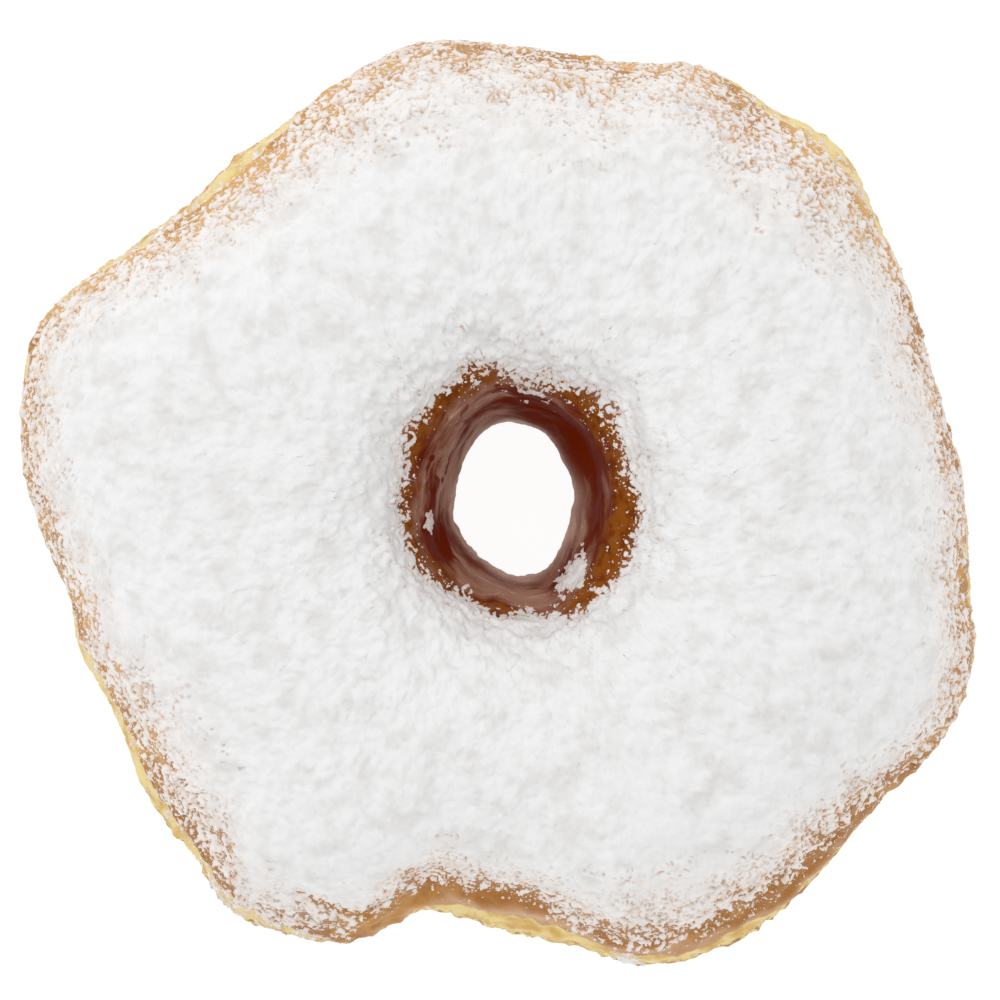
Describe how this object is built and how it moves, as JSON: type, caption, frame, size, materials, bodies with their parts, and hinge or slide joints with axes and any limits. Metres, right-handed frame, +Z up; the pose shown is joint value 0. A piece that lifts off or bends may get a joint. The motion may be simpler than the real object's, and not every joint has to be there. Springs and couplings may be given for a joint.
{
  "type": "sugar-dusted yeast ring doughnut",
  "caption": "Fried yeast ring doughnut with a hand-stretched, blunt-cornered rim, a small oval hole, a flat underside to rest on and a thick dusting of icing sugar on top.",
  "frame": {"origin": "on the resting surface, below the middle of the doughnut's bounding box", "axes": "+Z up, out of the sugared top; +Y towards the top edge of the picture, +X towards its right edge, with the picture looking straight down"},
  "size_m": [0.0928, 0.0902, 0.0343],
  "materials": {
    "crust": "golden-brown fried crust with a satin, slightly oily gloss and a paler band round its waist",
    "icing_sugar": "matt white powder in fine soft clumps"
  },
  "bodies": {
    "root": {"doughnut_ring": "crust"}
  },
  "joints": []
}
